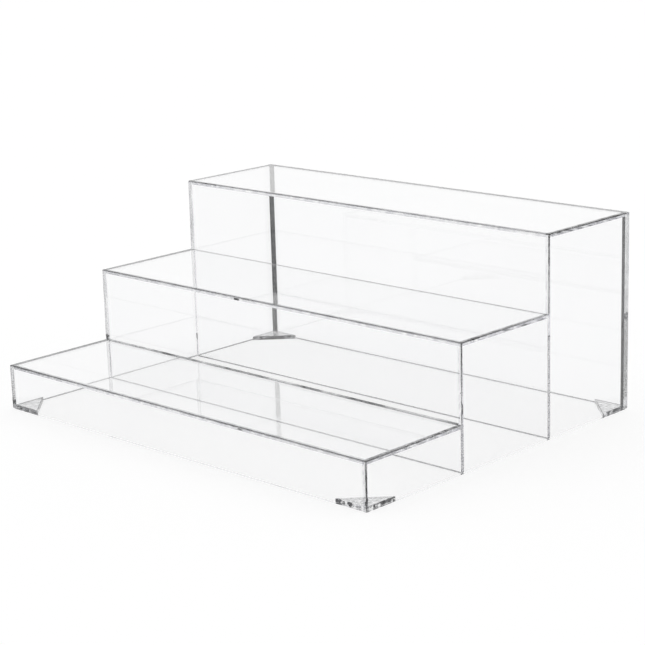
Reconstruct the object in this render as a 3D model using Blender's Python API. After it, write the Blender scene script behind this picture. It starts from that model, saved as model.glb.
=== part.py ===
"""Three-step countertop riser, cut from clear acrylic sheet and solvent bonded.

Everything is metres and +Z is up.  The origin is on the table under the middle of the
riser: X runs along the width, -Y is the front and Z is zero at the table.

Two stair-shaped side sheets stand outermost.  Three risers stand on the table between
them, and behind each riser a tread lies level with its top edge.  A full-width panel
closes the back.  A small triangular gusset braces each bottom corner from the inside.
"""
import math

import bmesh
import bpy

# ---- driving dimensions ----------------------------------------------------------
SHEET = 0.0025                         # thickness of every sheet
WIDTH = 0.300                          # over both side sheets
TIER_PITCH = 0.078                     # front of one riser to the front of the next
TIER_TOPS = (0.0280, 0.0745, 0.1210)   # top faces of the treads above the table
GUSSET_LEG = 0.021                     # each short side of a corner gusset
BOND_GAP = 0.0003                      # left for the cement between bonded faces
EDGE_ROUND = 0.00025                   # polished-off edge of every sheet
ROUND_SEGMENTS = 2

# ---- what follows from them ------------------------------------------------------
TIERS = len(TIER_TOPS)
HEIGHT = TIER_TOPS[-1]
DEPTH = TIER_PITCH * TIERS
FRONT = -DEPTH / 2
BACK_PANEL_FRONT = DEPTH / 2 - SHEET
REAR_BOND = BACK_PANEL_FRONT - BOND_GAP        # where the sheets meet the back panel
INNER_HALF = WIDTH / 2 - SHEET - BOND_GAP      # half the span between the side sheets

# ---- how the flat sheets are turned into place -----------------------------------
LYING = (0, 0, 0)                              # outline in X and Y, thickness up
FACING_FRONT = (math.pi / 2, 0, 0)             # outline in X and Z, thickness to the front
FACING_RIGHT = (math.pi / 2, 0, math.pi / 2)   # outline in Y and Z, thickness to the right

# ---- the acrylic -----------------------------------------------------------------
ACRYLIC_COLOUR = (0.94, 0.96, 0.97, 1.0)
ACRYLIC_ROUGHNESS = 0.02
ACRYLIC_IOR = 1.49


def clear_start():
    """Remove whatever objects the scene opens with."""
    for thing in list(bpy.data.objects):
        bpy.data.objects.remove(thing, do_unlink=True)


def clear_acrylic(name):
    """A water-clear, fully polished acrylic."""
    material = bpy.data.materials.new(name)
    material.use_nodes = True
    shader = material.node_tree.nodes["Principled BSDF"]
    shader.inputs["Base Color"].default_value = ACRYLIC_COLOUR
    shader.inputs["Roughness"].default_value = ACRYLIC_ROUGHNESS
    shader.inputs["Metallic"].default_value = 0.0
    shader.inputs["IOR"].default_value = ACRYLIC_IOR
    shader.inputs["Transmission Weight"].default_value = 1.0
    return material


def cut_sheet(name, outline, location, turned, parent):
    """One sheet: its flat outline, thickened, edge-polished and turned into place."""
    shape = bmesh.new()
    corners = [shape.verts.new((x, y, 0)) for x, y in outline]
    face = shape.faces.new(corners)
    grown = bmesh.ops.extrude_face_region(shape, geom=[face])
    top = [part for part in grown["geom"] if isinstance(part, bmesh.types.BMVert)]
    bmesh.ops.translate(shape, verts=top, vec=(0, 0, SHEET))
    bmesh.ops.recalc_face_normals(shape, faces=shape.faces)
    mesh = bpy.data.meshes.new(name)
    shape.to_mesh(mesh)
    shape.free()

    sheet = bpy.data.objects.new(name, mesh)
    bpy.context.scene.collection.objects.link(sheet)
    sheet.parent = parent
    sheet.location = location
    sheet.rotation_euler = turned
    mesh.materials.append(clear_acrylic(name + "_acrylic"))

    polish = sheet.modifiers.new("polished_edges", "BEVEL")
    polish.width = EDGE_ROUND
    polish.segments = ROUND_SEGMENTS
    polish.limit_method = "ANGLE"
    return sheet


def rectangle(x_low, x_high, y_low, y_high):
    """A rectangular outline, anticlockwise."""
    return [(x_low, y_low), (x_high, y_low), (x_high, y_high), (x_low, y_high)]


def tier_front(tier):
    """Y of the front face of a tier's riser."""
    return FRONT + TIER_PITCH * tier


def tier_rear(tier):
    """Y where a tier's tread stops: at the next riser, or at the back panel."""
    if tier + 1 < TIERS:
        return tier_front(tier + 1) - BOND_GAP
    return REAR_BOND


def stair_outline():
    """A side sheet in Y and Z: along the table, up the back, then down the steps."""
    outline = [(FRONT, 0), (REAR_BOND, 0), (REAR_BOND, HEIGHT)]
    for tier in reversed(range(TIERS)):
        outline.append((tier_front(tier), TIER_TOPS[tier]))
        if tier:
            outline.append((tier_front(tier), TIER_TOPS[tier - 1]))
    return outline


def add_sides(parent):
    """The two outermost sheets, whose front edges are flush with the risers."""
    for name, x_low in (("side_left", -WIDTH / 2), ("side_right", WIDTH / 2 - SHEET)):
        cut_sheet(name, stair_outline(), (x_low, 0, 0), FACING_RIGHT, parent)


def add_tiers(parent):
    """A riser from the table to each tread's top face, and the tread behind it."""
    for tier, top in enumerate(TIER_TOPS):
        riser_back = tier_front(tier) + SHEET
        upright = rectangle(-INNER_HALF, INNER_HALF, 0, top)
        cut_sheet(f"riser_{tier + 1}", upright, (0, riser_back, 0), FACING_FRONT, parent)
        shelf = rectangle(-INNER_HALF, INNER_HALF, riser_back + BOND_GAP, tier_rear(tier))
        cut_sheet(f"tread_{tier + 1}", shelf, (0, 0, top - SHEET), LYING, parent)


def add_back(parent):
    """The back panel, which covers the rear edges of the sides and of the top tread."""
    upright = rectangle(-WIDTH / 2, WIDTH / 2, 0, HEIGHT)
    cut_sheet("back_panel", upright, (0, DEPTH / 2, 0), FACING_FRONT, parent)


def add_gussets(parent):
    """A right triangle in each bottom corner, its short sides against the sheets."""
    triangle = [(0, 0), (GUSSET_LEG, 0), (0, GUSSET_LEG)]
    front_bond = FRONT + SHEET + BOND_GAP
    corners = (
        ("gusset_front_left", -INNER_HALF, front_bond),
        ("gusset_front_right", INNER_HALF, front_bond),
        ("gusset_back_right", INNER_HALF, REAR_BOND),
        ("gusset_back_left", -INNER_HALF, REAR_BOND),
    )
    for quarter, (name, x, y) in enumerate(corners):
        turned = (0, 0, quarter * math.pi / 2)
        cut_sheet(name, triangle, (x, y, 0), turned, parent)


def build():
    """The whole riser, under one empty at the middle of its footprint."""
    clear_start()
    footprint = bpy.data.objects.new("footprint_centre", None)
    bpy.context.scene.collection.objects.link(footprint)
    add_sides(footprint)
    add_tiers(footprint)
    add_back(footprint)
    add_gussets(footprint)


build()
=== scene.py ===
"""Looks of the clear acrylic step riser: its sheets, its cement joints, the studio and the camera.

Everything is metres in the CAD's own frame: X along the width, -Y to the front, Z up.
Each flat CAD node is replaced by a finer sheet of the same size and place.  Edges that
nothing is bonded to are rounded as by a flame, most bottom edges are chamfered, and cement
fills the joints where one sheet butts against another.  Edges, undersides, gussets, joints
and beads are tinted darker as painted shade.
"""

import math

import bmesh
import bpy
from mathutils import Matrix, Vector


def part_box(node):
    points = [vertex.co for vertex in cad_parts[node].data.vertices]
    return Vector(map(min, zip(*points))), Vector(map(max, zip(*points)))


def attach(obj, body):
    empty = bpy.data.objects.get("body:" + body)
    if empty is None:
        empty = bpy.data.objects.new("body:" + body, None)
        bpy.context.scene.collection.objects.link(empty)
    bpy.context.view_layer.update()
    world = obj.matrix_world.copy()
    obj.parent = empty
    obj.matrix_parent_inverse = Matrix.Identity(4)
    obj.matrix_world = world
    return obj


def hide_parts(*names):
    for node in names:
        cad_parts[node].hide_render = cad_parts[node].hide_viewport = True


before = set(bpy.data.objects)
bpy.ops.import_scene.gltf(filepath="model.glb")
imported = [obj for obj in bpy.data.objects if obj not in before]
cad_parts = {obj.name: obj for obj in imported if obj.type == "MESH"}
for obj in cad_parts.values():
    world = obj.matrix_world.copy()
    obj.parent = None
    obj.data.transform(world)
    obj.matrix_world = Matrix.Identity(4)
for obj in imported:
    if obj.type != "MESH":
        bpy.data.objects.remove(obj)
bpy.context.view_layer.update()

# ---- sizes, metres ---------------------------------------------------------------
WIDEST_BOND = 0.0006      # CAD nodes no further apart than this are bonded
AIR_FILM = 0.00002        # what stays between two bonded faces
CORNER_RADIUS = 0.0006    # of a flame-polished upright edge that nothing is bonded to
POLISH_RADIUS = 0.0007    # of a flame-polished top edge that nothing is bonded to
POLISH_STEPS = 4
LEFT_BEAD = (0.0034, 0.0012)   # cement squeezed out up a back corner, tinted as painted shade: along X, along Y
RIGHT_BEAD = (0.0018, 0.0030)
TREAD_BEAD = (0.0008, 0.0008)  # the same behind the lowest tread: along Y, along Z
BEAD_STEPS = 4
SEAM_WIDTH = 0.00012      # left clear of cement round a joint
SHADED_BASE_CHAMFER = 0.0005     # of a bottom edge that takes the darker painted shade
NEAR = 0.0006             # an edge this close to another sheet runs along a joint
SAME = 0.00001            # coordinates this close are the same

# ---- directions, as parts of a unit vector ---------------------------------------
FLAT = 0.999              # a face that points this much along an axis is square to it
LEVEL = 0.1               # a rounded edge that points up or down less than this is upright
DOWN = -0.5               # a square face that points lower than this is a bottom edge
UPRIGHT = 0.9             # an edge that rises this share of its length stands upright

# ---- acrylic ---------------------------------------------------------------------
ACRYLIC_IOR = 1.49
NOISE_DETAIL = 2.0
NOISE_ROUGHNESS = 0.6
NOISE_MIDDLE = 0.5
NOISE_SPAN = (0.3, 0.7)   # holds nearly all the values of a noise field
FACE_TINTS = ((0.972, 0.973, 0.976, 1), (0.983, 0.984, 0.986, 1))
# Every tint below is painted shade on clear acrylic: edges, undersides, gussets, cement joints and
# beads are darkened in a noise pattern.
EDGE_SHADE_TINTS = ((0.45, 0.453, 0.458, 1), (0.75, 0.754, 0.762, 1))
LIGHT_EDGE_SHADE_TINTS = ((0.80, 0.804, 0.812, 1), (0.96, 0.964, 0.972, 1))
ROUND_EDGE_SHADE_TINTS = ((0.16, 0.162, 0.166, 1), (0.36, 0.363, 0.368, 1))
DEEP_ROUND_SHADE_TINTS = ((0.0, 0.0, 0.0, 1), (0.22, 0.221, 0.224, 1))
UNDERSIDE_SHADE_TINTS = ((0.02, 0.020, 0.022, 1), (0.16, 0.162, 0.168, 1))
LIGHT_BASE_SHADE_TINTS = ((0.50, 0.504, 0.512, 1), (0.85, 0.854, 0.862, 1))
GUSSET_EDGE_SHADE_TINTS = ((0.01, 0.010, 0.011, 1), (1.0, 1.0, 1.0, 1))
GUSSET_FACE_SHADE_TINTS = ((0.45, 0.452, 0.456, 1), (0.97, 0.971, 0.973, 1))
BEAD_SHADE_TINTS = ((0.0, 0.0, 0.0, 1), (0.08, 0.081, 0.083, 1))
THIN_BEAD_SHADE_TINTS = ((0.15, 0.152, 0.156, 1), (0.70, 0.704, 0.712, 1))
CEMENT_SHADE_TINTS = ((0.90, 0.90, 0.91, 1), (1.0, 1.0, 1.0, 1))
THICK_CEMENT_SHADE_TINTS = ((0.85, 0.852, 0.858, 1), (1.0, 1.0, 1.0, 1))
GUSSET_CEMENT_SHADE_TINTS = ((0.40, 0.402, 0.408, 1), (1.0, 1.0, 1.0, 1))

# ---- studio ----------------------------------------------------------------------
FLOOR_HALF = 60.0
FLOOR_GLOW = 0.80         # share of the table that shines of itself
FLOOR_STRENGTH = 1.065
FLOOR_DROP = 0.0002       # of the table below the sheets, so that the two don't touch
DARK_SIDE = (0.69, -0.70, 0.15)  # way to the unlit end of the room
DARK_LEVEL = 0.30         # of light from there, against 1 from the other end
DARK_FADE = (0.10, 0.60)  # how far a direction points that way, from white to dark
DARK_RISE = (0.03, 0.10)  # height over the horizon, as a sine, from white to dark
CLEAR_BOUNCES = 96        # light crosses many sheets, and runs on inside each of them
DIFFUSE_BOUNCES = 4

# ---- camera, worked out for a square picture -------------------------------------
CAMERA_PLACE = Vector((0.7762, -0.7929, 0.3388))
CAMERA_YAW = 0.7690
CAMERA_PITCH = 0.2510
CAMERA_ROLL = -0.0305
CAMERA_LENS = 105.04
CAMERA_SENSOR = 36.0

# ---- slots of every sheet --------------------------------------------------------
# Every slot but FACE takes a material tinted with painted shade.
(FACE, EDGE, CLEAR_EDGE, ROUND, DARK_ROUND, SHADED_UNDERSIDE, LIGHT_SHADED_BASE,
 GUSSET_EDGE, GUSSET_FACE, BOND, THICK_BOND, GUSSET_BOND) = range(12)
LIGHT_SHADED_BASES = ("riser_1", "side_right")  # nodes whose bottom edge takes the lighter painted shade and no chamfer


# ==== materials ===================================================================
def new_material(name):
    material = bpy.data.materials.new(name)
    material.use_nodes = True
    tree = material.node_tree
    tree.nodes.clear()
    output = tree.nodes.new("ShaderNodeOutputMaterial")
    return material, tree, output


def add_node(tree, kind, **values):
    node = tree.nodes.new(kind)
    for name, value in values.items():
        if name in node.inputs:
            node.inputs[name].default_value = value
        else:
            setattr(node, name, value)
    return node


def noise_field(tree, scale, stretch=(1, 1, 1)):
    """A noise value over the object, in CAD metres; a stretch below 1 draws it out."""
    place = add_node(tree, "ShaderNodeTexCoord")
    mapping = add_node(tree, "ShaderNodeMapping", Scale=stretch)
    noise = add_node(tree, "ShaderNodeTexNoise", Scale=scale, Detail=NOISE_DETAIL,
                     Roughness=NOISE_ROUGHNESS)
    tree.links.new(place.outputs["Object"], mapping.inputs["Vector"])
    tree.links.new(mapping.outputs["Vector"], noise.inputs["Vector"])
    return noise.outputs["Fac"]


def tint_ramp(tree, value, tints, contrast):
    """A colour from the first tint to the second, sharper where contrast is small."""
    node = add_node(tree, "ShaderNodeValToRGB")
    places = (NOISE_MIDDLE - contrast, NOISE_MIDDLE + contrast)
    for element, place, tint in zip(node.color_ramp.elements, places, tints):
        element.position = place
        element.color = tint
    tree.links.new(value, node.inputs["Fac"])
    return node.outputs["Color"]


def map_range(tree, value, span, low, high):
    """A node that goes from low at the start of the span to high at its end."""
    node = add_node(tree, "ShaderNodeMapRange")
    node.inputs["From Min"].default_value = span[0]
    node.inputs["From Max"].default_value = span[1]
    node.inputs["To Min"].default_value = low
    node.inputs["To Max"].default_value = high
    tree.links.new(value, node.inputs["Value"])
    return node


def glass(name, tints, scale, contrast, roughness):
    """Clear acrylic whose tint and polish wander with a noise field."""
    material, tree, output = new_material(name)
    shader = add_node(tree, "ShaderNodeBsdfPrincipled")
    shader.inputs["IOR"].default_value = ACRYLIC_IOR
    shader.inputs["Transmission Weight"].default_value = 1.0
    value = noise_field(tree, scale)
    polish = map_range(tree, value, NOISE_SPAN, *roughness)
    tree.links.new(tint_ramp(tree, value, tints, contrast), shader.inputs["Base Color"])
    tree.links.new(polish.outputs["Result"], shader.inputs["Roughness"])
    tree.links.new(shader.outputs["BSDF"], output.inputs["Surface"])
    return material


def cement(name, tints, scale, contrast, stretch=(1, 1, 1)):
    """A joint filled with solvent cement: light goes straight on, dimmed in a noise pattern by
    painted shade.
    """
    material, tree, output = new_material(name)
    shader = add_node(tree, "ShaderNodeBsdfTransparent")
    value = noise_field(tree, scale, stretch)
    tree.links.new(tint_ramp(tree, value, tints, contrast), shader.inputs["Color"])
    tree.links.new(shader.outputs["BSDF"], output.inputs["Surface"])
    return material


def sheet_materials():
    """One material for each kind of surface, in slot order."""
    return [
        glass("acrylic_face", FACE_TINTS, scale=9.0, contrast=0.2, roughness=(0.0, 0.006)),
        # Edge materials: tinted dark as painted shade.
        glass("acrylic_edge_painted_shade", EDGE_SHADE_TINTS, scale=120.0, contrast=0.15, roughness=(0.03, 0.10)),
        glass("acrylic_light_painted_shade_edge", LIGHT_EDGE_SHADE_TINTS, scale=120.0, contrast=0.15,
              roughness=(0.0, 0.03)),
        glass("acrylic_rounded_edge_painted_shade", ROUND_EDGE_SHADE_TINTS, scale=55.0, contrast=0.12,
              roughness=(0.03, 0.12)),
        glass("acrylic_deep_painted_shade_edge", DEEP_ROUND_SHADE_TINTS, scale=150.0, contrast=0.12,
              roughness=(0.03, 0.12)),
        # Underside and bottom-edge materials: painted shade where the sheets meet the table.
        glass("acrylic_sawn_edge", UNDERSIDE_SHADE_TINTS, scale=420.0, contrast=0.12,
              roughness=(0.22, 0.42)),
        glass("acrylic_base_light_painted_shade", LIGHT_BASE_SHADE_TINTS, scale=420.0, contrast=0.12,
              roughness=(0.05, 0.15)),
        # Gusset materials: mottled painted shade on clear acrylic.
        glass("acrylic_gusset_edge_painted_shade", GUSSET_EDGE_SHADE_TINTS, scale=330.0, contrast=0.05,
              roughness=(0.02, 0.1)),
        glass("acrylic_gusset_face_painted_shade", GUSSET_FACE_SHADE_TINTS, scale=420.0, contrast=0.12,
              roughness=(0.0, 0.05)),
        # Cement in the joints: dimmed in a noise pattern as painted shade.
        cement("cement_thin_painted_shade", CEMENT_SHADE_TINTS, scale=260.0, contrast=0.1),
        cement("cement_thick_painted_shade", THICK_CEMENT_SHADE_TINTS, scale=45.0, contrast=0.2,
               stretch=(1, 1, 0.5)),
        cement("cement_gusset_painted_shade", GUSSET_CEMENT_SHADE_TINTS, scale=190.0, contrast=0.08),
    ]


def bead_materials():
    """The cement squeezed out of a thick joint, and of a thin one, both tinted dark as painted
    shade.
    """
    return (
        glass("cement_bead_painted_shade", BEAD_SHADE_TINTS, scale=28.0, contrast=0.12, roughness=(0.05, 0.2)),
        glass("cement_thin_bead_painted_shade", THIN_BEAD_SHADE_TINTS, scale=60.0, contrast=0.12,
              roughness=(0.05, 0.2)),
    )


# ==== the sheets ==================================================================
def find_bonds(boxes):
    """Where a sheet's edge butts against another: (sheet, axis, side, other).

    side is 0 where the sheet's low face meets the other, and 1 where its high face does.
    """
    found = []
    for name, (low, high) in boxes.items():
        for other, (other_low, other_high) in boxes.items():
            for axis in range(3):
                across = [k for k in range(3) if k != axis]
                covered = all(other_low[k] - SAME < low[k] and high[k] < other_high[k] + SAME
                              for k in across)
                gaps = (low[axis] - other_high[axis], other_low[axis] - high[axis])
                for side, gap in enumerate(gaps):
                    if covered and 0 < gap < WIDEST_BOND:
                        found.append((name, axis, side, other))
    return found


def close_gaps(boxes, bonds):
    """Grow each butting edge over the CAD's bond gap, down to a film of air."""
    for name, axis, side, other in bonds:
        if side:
            boxes[name][1][axis] = boxes[other][0][axis] - AIR_FILM
        else:
            boxes[name][0][axis] = boxes[other][1][axis] + AIR_FILM


def stair_outline(boxes):
    """(y, z) corners of a side sheet, from the low front corner round the back."""
    low, high = boxes["side_left"]
    outline = [(low.y, low.z), (high.y, low.z), (high.y, high.z)]
    for tier in (3, 2, 1):
        front = boxes[f"riser_{tier}"][0].y
        outline.append((front, boxes[f"riser_{tier}"][1].z))
        if tier > 1:
            outline.append((front, boxes[f"riser_{tier - 1}"][1].z))
    return outline


def outline_of(name, boxes):
    """(outline in the sheet's two long axes, its thin axis)."""
    low, high = boxes[name]
    if name.startswith("side"):
        return stair_outline(boxes), 0
    if name.startswith("gusset"):
        corner_x, far_x = (low.x, high.x) if name.endswith("left") else (high.x, low.x)
        corner_y, far_y = (low.y, high.y) if "front" in name else (high.y, low.y)
        return [(corner_x, corner_y), (far_x, corner_y), (corner_x, far_y)], 2
    thin = min(range(3), key=lambda k: high[k] - low[k])
    u, v = [k for k in range(3) if k != thin]
    return [(low[u], low[v]), (high[u], low[v]), (high[u], high[v]), (low[u], high[v])], thin


def in_space(point, thin, depth):
    """A corner of an outline, at a depth along the sheet's thin axis."""
    place = list(point)
    place.insert(thin, depth)
    return place


def cut_at(shape, axis, place):
    """Cut the faces of the shape along the plane axis = place; nothing is removed."""
    normal = [0, 0, 0]
    normal[axis] = 1
    point = [0, 0, 0]
    point[axis] = place
    everything = shape.verts[:] + shape.edges[:] + shape.faces[:]
    bmesh.ops.bisect_plane(shape, geom=everything, dist=SAME, plane_co=point, plane_no=normal)


def in_patch(face, axis, place, patch):
    """True for a face that lies in the plane axis = place and inside the patch."""
    middle = face.calc_center_median()
    if abs(face.normal[axis]) < FLAT or abs(middle[axis] - place) > WIDEST_BOND:
        return False
    return all(patch[0][k] < middle[k] < patch[1][k] for k in range(3) if k != axis)


def bond_patches(name, boxes, bonds):
    """(axis, place, rectangle, kind of cement) of each flat joint of this sheet."""
    patches = []
    for butting, axis, side, other in bonds:
        if name in (butting, other):
            low, high = boxes[butting]
            inset = Vector((SEAM_WIDTH, SEAM_WIDTH, SEAM_WIDTH))
            patch = (low + inset, high - inset)
            patches.append((axis, boxes[butting][side][axis], patch, bond_kind(butting, axis)))
    return patches


def is_free(edge, name, boxes):
    """True for a convex edge above the table that no other sheet touches."""
    middle = (edge.verts[0].co + edge.verts[1].co) / 2
    if name == "back_panel" or middle.z < NEAR or not edge.is_convex:
        return False
    for other, (low, high) in boxes.items():
        if other != name and all(low[k] - NEAR < middle[k] < high[k] + NEAR for k in range(3)):
            return False
    return True


def is_upright(edge):
    along = edge.verts[1].co - edge.verts[0].co
    return abs(along.z) > UPRIGHT * along.length


def has_dark_shaded_base(name):
    """True for a sheet whose bottom edge is chamfered and takes the darker painted shade."""
    return name not in LIGHT_SHADED_BASES and not name.startswith(("tread", "gusset"))


def extrude_outline(outline, thin, low, high):
    shape = bmesh.new()
    corners = [shape.verts.new(in_space(point, thin, low[thin])) for point in outline]
    grown = bmesh.ops.extrude_face_region(shape, geom=[shape.faces.new(corners)])
    shift = [0, 0, 0]
    shift[thin] = high[thin] - low[thin]
    top = [part for part in grown["geom"] if isinstance(part, bmesh.types.BMVert)]
    bmesh.ops.translate(shape, verts=top, vec=shift)
    bmesh.ops.recalc_face_normals(shape, faces=shape.faces)
    return shape


def bond_kind(butting, axis):
    """The slot of the cement in a joint: thick at the sides, with the darkest painted shade beside
    the gussets.
    """
    if butting.startswith("side"):
        return THICK_BOND
    if butting.startswith("gusset") and axis == 0:
        return GUSSET_BOND
    return BOND


def finish_of(face, name, thin, patches):
    """The slot of a face, from its joint, its direction and the sheet it is on."""
    for axis, place, patch, kind in patches:
        if in_patch(face, axis, place, patch):
            return kind
    flat = max(range(3), key=lambda k: abs(face.normal[k]))
    if name.startswith("gusset"):
        return GUSSET_FACE if flat == thin else GUSSET_EDGE
    if abs(face.normal[flat]) < FLAT:
        # Downward faces take the darkest painted shade, under the sheet.
        if face.normal.z < -LEVEL:
            return SHADED_UNDERSIDE
        # The right side sheet's edges take the deepest painted shade.
        if name == "side_right":
            return DARK_ROUND
        return EDGE if name == "side_left" and abs(face.normal.z) < LEVEL else ROUND
    if flat == thin:
        return FACE
    # Bottom faces: painted shade where the sheet meets the table, darker on the inner sheets.
    if face.normal.z < DOWN:
        return SHADED_UNDERSIDE if has_dark_shaded_base(name) else LIGHT_SHADED_BASE
    if name == "side_right":
        return DARK_ROUND if flat == 2 else CLEAR_EDGE
    return CLEAR_EDGE if name == "back_panel" and flat == 2 else EDGE


def shape_edges(shape, name, boxes):
    """Round the free edges, upright ones first, and chamfer the bottom edge that takes the darker
    painted shade.
    """
    for upright, radius in ((True, CORNER_RADIUS), (False, POLISH_RADIUS)):
        free = [edge for edge in shape.edges
                if is_free(edge, name, boxes) and is_upright(edge) == upright]
        bmesh.ops.bevel(shape, geom=free, offset=radius, segments=POLISH_STEPS,
                        profile=0.5, affect="EDGES")
    if has_dark_shaded_base(name):
        sawn = [edge for edge in shape.edges
                if edge.is_convex and all(corner.co.z < NEAR for corner in edge.verts)]
        bmesh.ops.bevel(shape, geom=sawn, offset=SHADED_BASE_CHAMFER, segments=1, affect="EDGES")


def cut_round(shape, patches, low, high):
    """Cut the shape along the borders of each joint, where they run inside it."""
    for axis, place, patch, kind in patches:
        for k in range(3):
            if k != axis:
                for end in (patch[0][k], patch[1][k]):
                    if low[k] + SAME < end < high[k] - SAME:
                        cut_at(shape, k, end)


def add_piece(shape, piece_name, node, materials):
    """Turn the shape into a piece that stands in for its CAD node."""
    mesh = bpy.data.meshes.new(piece_name)
    shape.to_mesh(mesh)
    shape.free()
    for material in materials:
        mesh.materials.append(material)
    piece = bpy.data.objects.new(piece_name, mesh)
    bpy.context.scene.collection.objects.link(piece)
    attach(piece, "root")
    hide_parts(node)


def make_sheet(name, boxes, bonds, materials):
    outline, thin = outline_of(name, boxes)
    low, high = boxes[name]
    shape = extrude_outline(outline, thin, low, high)
    shape_edges(shape, name, boxes)
    patches = bond_patches(name, boxes, bonds)
    cut_round(shape, patches, low, high)
    shape.normal_update()
    for face in shape.faces:
        face.material_index = finish_of(face, name, thin, patches)
    add_piece(shape, name + "_sheet", name, materials)


def add_bead(beside, start, end, first, second, material):
    """A bar of squeezed-out cement in an inside corner, with a hollow face.

    It runs from start to end, and reaches as far as first and second over the two
    sheets that meet there.
    """
    ring = [Vector((0, 0, 0))]
    for step in range(BEAD_STEPS + 1):
        angle = math.pi / 2 * step / BEAD_STEPS
        ring.append(first * (1 - math.sin(angle)) + second * (1 - math.cos(angle)))
    shape = bmesh.new()
    near = [shape.verts.new(start + point) for point in ring]
    far = [shape.verts.new(end + point) for point in ring]
    shape.faces.new(near)
    shape.faces.new(far)
    for index in range(len(ring)):
        following = (index + 1) % len(ring)
        shape.faces.new((near[index], near[following], far[following], far[index]))
    bmesh.ops.recalc_face_normals(shape, faces=shape.faces)
    add_piece(shape, beside + "_bead", beside, [material])


def add_beads(boxes):
    """Beads up both back corners, and along the back of the lowest tread, whose dark tint is
    painted shade.
    """
    dark, thin = bead_materials()
    back = boxes["back_panel"][0].y - AIR_FILM
    foot = boxes["gusset_back_left"][1].z + AIR_FILM
    ceiling = boxes["tread_3"][0].z - AIR_FILM
    left = boxes["side_left"][1].x + AIR_FILM
    right = boxes["side_right"][0].x - AIR_FILM
    for side, x, inward, bead in (("side_left", left, 1, LEFT_BEAD),
                                  ("side_right", right, -1, RIGHT_BEAD)):
        add_bead(side, Vector((x, back, foot)), Vector((x, back, ceiling)),
                 Vector((inward * bead[0], 0, 0)), Vector((0, -bead[1], 0)), dark)
    low, high = boxes["tread_1"]
    seam = Vector((0, high.y - AIR_FILM, high.z + AIR_FILM))
    add_bead("tread_1", seam + Vector((low.x, 0, 0)), seam + Vector((high.x, 0, 0)),
             Vector((0, -TREAD_BEAD[0], 0)), Vector((0, 0, TREAD_BEAD[1])), thin)


# ==== the studio ==================================================================
def make_floor():
    """A white table that shines, and is dimmed a little where something stands on it."""
    half = FLOOR_HALF
    mesh = bpy.data.meshes.new("studio_floor")
    mesh.from_pydata([(-half, -half, 0), (half, -half, 0), (half, half, 0), (-half, half, 0)],
                     [], [(0, 1, 2, 3)])
    floor = bpy.data.objects.new("studio_floor", mesh)
    floor.location.z = -FLOOR_DROP
    bpy.context.scene.collection.objects.link(floor)
    material, tree, output = new_material("white_table")
    diffuse = add_node(tree, "ShaderNodeBsdfDiffuse", Color=(1, 1, 1, 1))
    glow = add_node(tree, "ShaderNodeEmission", Color=(1, 1, 1, 1), Strength=FLOOR_STRENGTH)
    blend = add_node(tree, "ShaderNodeMixShader", Fac=FLOOR_GLOW)
    tree.links.new(diffuse.outputs[0], blend.inputs[1])
    tree.links.new(glow.outputs[0], blend.inputs[2])
    tree.links.new(blend.outputs[0], output.inputs["Surface"])
    mesh.materials.append(material)


def make_world():
    """White all round, but for the unlit end of the room above the horizon."""
    world = bpy.data.worlds.new("studio")
    bpy.context.scene.world = world
    world.use_nodes = True
    back = world.node_tree.nodes["Background"]
    back.inputs["Color"].default_value = (1, 1, 1, 1)
    tree = world.node_tree
    place = add_node(tree, "ShaderNodeTexCoord")
    facing = add_node(tree, "ShaderNodeVectorMath", operation="DOT_PRODUCT")
    facing.inputs[1].default_value = DARK_SIDE
    parts = add_node(tree, "ShaderNodeSeparateXYZ")
    tree.links.new(place.outputs["Generated"], facing.inputs[0])
    tree.links.new(place.outputs["Generated"], parts.inputs[0])
    darkest = map_range(tree, parts.outputs["Z"], DARK_RISE, 1.0, DARK_LEVEL)
    strength = map_range(tree, facing.outputs["Value"], DARK_FADE, 1.0, DARK_LEVEL)
    tree.links.new(darkest.outputs["Result"], strength.inputs["To Max"])
    tree.links.new(strength.outputs["Result"], back.inputs["Strength"])


def make_camera():
    forward = Vector((-math.sin(CAMERA_YAW) * math.cos(CAMERA_PITCH),
                      math.cos(CAMERA_YAW) * math.cos(CAMERA_PITCH),
                      -math.sin(CAMERA_PITCH)))
    right = Vector((math.cos(CAMERA_YAW), math.sin(CAMERA_YAW), 0))
    turned = Matrix.Rotation(CAMERA_ROLL, 3, -forward)
    right = turned @ right
    up = right.cross(forward)
    camera = bpy.data.objects.new("camera", bpy.data.cameras.new("camera"))
    bpy.context.scene.collection.objects.link(camera)
    facing = Matrix((right, up, -forward)).transposed().to_4x4()
    camera.matrix_world = Matrix.Translation(CAMERA_PLACE) @ facing
    camera.data.lens = CAMERA_LENS
    camera.data.sensor_width = CAMERA_SENSOR
    bpy.context.scene.camera = camera


def set_light_paths():
    cycles = bpy.context.scene.cycles
    cycles.max_bounces = CLEAR_BOUNCES
    cycles.transmission_bounces = CLEAR_BOUNCES
    cycles.glossy_bounces = CLEAR_BOUNCES
    cycles.transparent_max_bounces = CLEAR_BOUNCES
    cycles.diffuse_bounces = DIFFUSE_BOUNCES
    bpy.context.scene.view_settings.view_transform = "Standard"


boxes = {name: [Vector(corner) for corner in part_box(name)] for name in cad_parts}
bonds = find_bonds(boxes)
close_gaps(boxes, bonds)
materials = sheet_materials()
for name in boxes:
    make_sheet(name, boxes, bonds, materials)
add_beads(boxes)
make_floor()
make_world()
make_camera()
set_light_paths()
